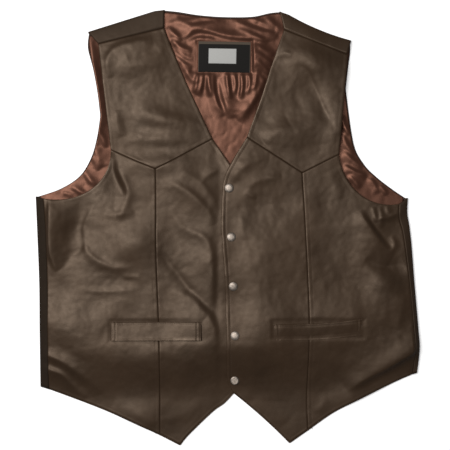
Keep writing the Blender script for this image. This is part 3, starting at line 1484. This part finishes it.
def leather(name, dark, light, edge_colour, matt_colour, shine):
    material, shader, wire = start_material(name)
    place = wire.node("ShaderNodeTexCoord", output="Object")
    slow = place.noise(14, 4, 0.55)
    fine = place.noise(160, 3)
    pebbles = wire.node(
        "ShaderNodeTexVoronoi", {"feature": "SMOOTH_F1"},
        {"Vector": place, "Scale": 900, "Smoothness": 0.6},
    )
    worn, matt = wire.mark("wear"), wire.mark("matt")
    base = matt.mix(slow.between(0.32, 0.68).mix(dark, light), matt_colour)
    feed(shader, "Base Color", (worn * (0.25 + 0.5 * fine)).mix(base, edge_colour))
    feed(shader, "Roughness", shine + 0.16 * fine + 0.1 * slow - 0.08 * worn + 0.4 * matt)
    feed(shader, "Normal", (pebbles * 0.5 + fine * 0.6).bump(0.25, 0.0004))
    shader.inputs["Specular IOR Level"].default_value = 0.5
    shader.inputs["Specular Tint"].default_value = colour(1, 0.76, 0.57)
    return made_of(material)


outside_leather = leather(
    "leather_grain", dark=colour(0.0205, 0.0108, 0.0054), light=colour(0.0305, 0.0165, 0.0086),
    edge_colour=colour(0.042, 0.025, 0.015), matt_colour=colour(0.007, 0.0042, 0.0026), shine=0.33,
)


def suede():
    """The flesh side of the leather, which shows only inside."""
    material, shader, wire = start_material("leather_flesh_side")
    place = wire.node("ShaderNodeTexCoord", output="Object")
    nap = place.noise(500, 4)
    feed(shader, "Base Color", nap.mix(colour(0.03, 0.018, 0.012), colour(0.06, 0.038, 0.026)))
    feed(shader, "Roughness", 0.8 + 0.15 * nap)
    feed(shader, "Normal", nap.bump(0.4, 0.0005))
    return made_of(material)


inside_leather = suede()

# %% [markdown]
# Satin shines because its threads float over each other in long parallel runs, and the shine takes
# on the colour of the thread. Very fine stretched noise gives the direction, and a share of metal
# gives the coloured shine: a plain cloth shader would shine white.

# %% Satin


def satin():
    material, shader, wire = start_material("satin_lining")
    place = wire.node("ShaderNodeTexCoord", output="Object")
    stretched = wire.node("ShaderNodeMapping", inputs={"Vector": place, "Scale": (1, 0.12, 1)})
    threads = stretched.noise(900, 3)
    cloudy = place.noise(22, 3)
    base = (threads * 0.5 + cloudy * 0.5).mix(colour(0.064, 0.0265, 0.0165), colour(0.107, 0.047, 0.0305))
    feed(shader, "Base Color", base)
    feed(shader, "Roughness", 0.35 + 0.12 * threads)
    feed(shader, "Normal", threads.bump(0.15, 0.0003))
    shader.inputs["Metallic"].default_value = 0.6
    shader.inputs["Specular Tint"].default_value = colour(1, 0.66, 0.5)
    return made_of(material)


satin_finish = satin()

# %% [markdown]
# The label is a dense black weave with a grey-brown woven border along the top, and red-brown thread
# where its two sides are sewn down. The wear attribute of the mesh tells the shader where those are.
# The patch and the sewing thread are the same weave in other colours. The snap caps are worn brass
# under nickel: a metal whose colour and polish change in small spots.

# %% Label cloth, patch, thread and metal


def woven(name, dark, light, border=None, sewn=None):
    material, shader, wire = start_material(name)
    place = wire.node("ShaderNodeTexCoord", output="Object")
    ribs = wire.node(
        "ShaderNodeTexWave", {"wave_type": "BANDS", "bands_direction": "Y"},
        {"Vector": place, "Scale": 480, "Distortion": 1.5, "Detail": 2},
    )
    speckle = place.noise(1400, 2)
    weave = ribs * 0.5 + speckle * 0.5
    base = weave.mix(dark, light)
    if border:
        zone = wire.mark("wear")
        base = zone.between(0.6, 0.9).mix(base, border)
        base = zone.between(1.2, 1.5).mix(base, sewn)
    feed(shader, "Base Color", base)
    feed(shader, "Roughness", 0.7 + 0.2 * speckle)
    shader.inputs["Specular IOR Level"].default_value = 0.2
    feed(shader, "Normal", weave.bump(0.35, 0.0003))
    return made_of(material)


label_finish = woven(
    "label_weave", colour(0.005, 0.0045, 0.004), colour(0.013, 0.011, 0.009),
    border=colour(0.075, 0.058, 0.042), sewn=colour(0.11, 0.04, 0.022),
)
patch_finish = woven("patch_weave", colour(0.36, 0.355, 0.34), colour(0.47, 0.465, 0.44))
thread_finish = woven("thread", colour(0.035, 0.022, 0.014), colour(0.075, 0.05, 0.034))


def metal():
    material, shader, wire = start_material("snap_metal")
    place = wire.node("ShaderNodeTexCoord", output="Object")
    tarnish = place.noise(420, 4)
    feed(shader, "Base Color", tarnish.mix(colour(0.13, 0.105, 0.085), colour(0.48, 0.41, 0.35)))
    feed(shader, "Roughness", 0.4 + 0.2 * tarnish)
    feed(shader, "Normal", tarnish.bump(0.8, 0.0003))
    shader.inputs["Metallic"].default_value = 1
    return made_of(material)


metal_finish = metal()

# %% [markdown]
# Each piece now gets its finishes. A cloth piece has two: slot 0 is its outside, and the Solidify
# modifier puts slot 1 on its inside. The snap sockets between the fronts keep their CAD shape.

# %% Dress the pieces


def dress(piece, outside, inside=None):
    piece.data.materials.clear()
    piece.data.materials.append(outside)
    if inside:
        piece.data.materials.append(inside)
        piece.modifiers["wall"].material_offset = 1
        piece.modifiers["wall"].material_offset_rim = 0


for name, piece in made.items():
    if "stitching" in name:
        dress(piece, thread_finish)
    elif name == "back_lining":
        dress(piece, satin_finish)
    elif name == "neck_label":
        dress(piece, label_finish)
    elif name == "label_patch":
        dress(piece, patch_finish)
    else:
        dress(piece, outside_leather, inside_leather)
for piece in caps:
    dress(piece, metal_finish)
for k in range(len(SNAPS)):
    for slot in bpy.data.objects[f"snap_socket_{k + 1}"].material_slots:
        slot.material = metal_finish

# %% [markdown]
# The vest lies on a white table and is seen from straight above. One large soft light stands high at
# the wearer's right, towards the neck, and a weaker one hangs above. Leather that lies flat or tilts
# a little towards the large light shines, and leather that tilts away stays dark: that alone draws
# the creases. A small light would leave hard spots instead. The table glows a little, so that it
# stays white around the dark vest, and it is kept out of the reflections, or it would light the
# turned edges from below. A long lens keeps the plan true.

# %% Floor
FLOOR_DROP = 0.3


def floor():
    bm = bmesh.new()
    bmesh.ops.create_grid(bm, x_segments=1, y_segments=1, size=3)
    bmesh.ops.translate(bm, vec=(0, 0, -FLOOR_DROP * MM), verts=bm.verts)
    piece = add_piece("floor", bm)
    material, shader, wire = start_material("floor_white")
    shader.inputs["Base Color"].default_value = colour(0.95, 0.945, 0.945)
    shader.inputs["Roughness"].default_value = 0.9
    shader.inputs["Emission Color"].default_value = colour(1, 0.99, 0.99)
    shader.inputs["Emission Strength"].default_value = 0.3
    piece.data.materials.append(material)
    piece.visible_glossy = False


floor()
print("the floor lies", FLOOR_DROP, "mm below the vest")

# %% Lights


def area_light(name, place, size, power):
    """A white rectangular light that looks at the vest."""
    data = bpy.data.lights.new(name, "AREA")
    data.shape = "RECTANGLE"
    data.size, data.size_y = size
    data.energy = power
    lamp = bpy.data.objects.new(name, data)
    lamp.location = place
    lamp.rotation_euler = (-Vector(place)).to_track_quat("-Z", "Y").to_euler()
    bpy.context.scene.collection.objects.link(lamp)


area_light("softbox", (-0.95, 0.55, 2.05), (1.0, 1.3), 44)
area_light("overhead", (-0.2, 0.3, 2.8), (1.4, 1.4), 12)
world = bpy.data.worlds.new("studio")
world.use_nodes = True
world.node_tree.nodes["Background"].inputs["Color"].default_value = colour(1, 1, 1)
world.node_tree.nodes["Background"].inputs["Strength"].default_value = 0.16
bpy.context.scene.world = world
bpy.context.scene.view_settings.view_transform = "Standard"
print(len(bpy.data.lights), "lights")

# %% Camera
LENS = 100
SENSOR = 36
VIEW_WIDTH = 675  # what the picture takes in
VIEW_HEIGHT = 6  # the height at which it takes in that much
VIEW_MIDDLE = (-4.65, 2.2)
camera_data = bpy.data.cameras.new("camera")
camera_data.lens = LENS
camera_data.sensor_width = SENSOR
camera = bpy.data.objects.new("camera", camera_data)
above = VIEW_HEIGHT + VIEW_WIDTH * LENS / SENSOR
camera.location = (VIEW_MIDDLE[0] * MM, VIEW_MIDDLE[1] * MM, above * MM)
bpy.context.scene.collection.objects.link(camera)
bpy.context.scene.camera = camera
print("the camera stands", round(camera.location.z, 2), "m above the table")
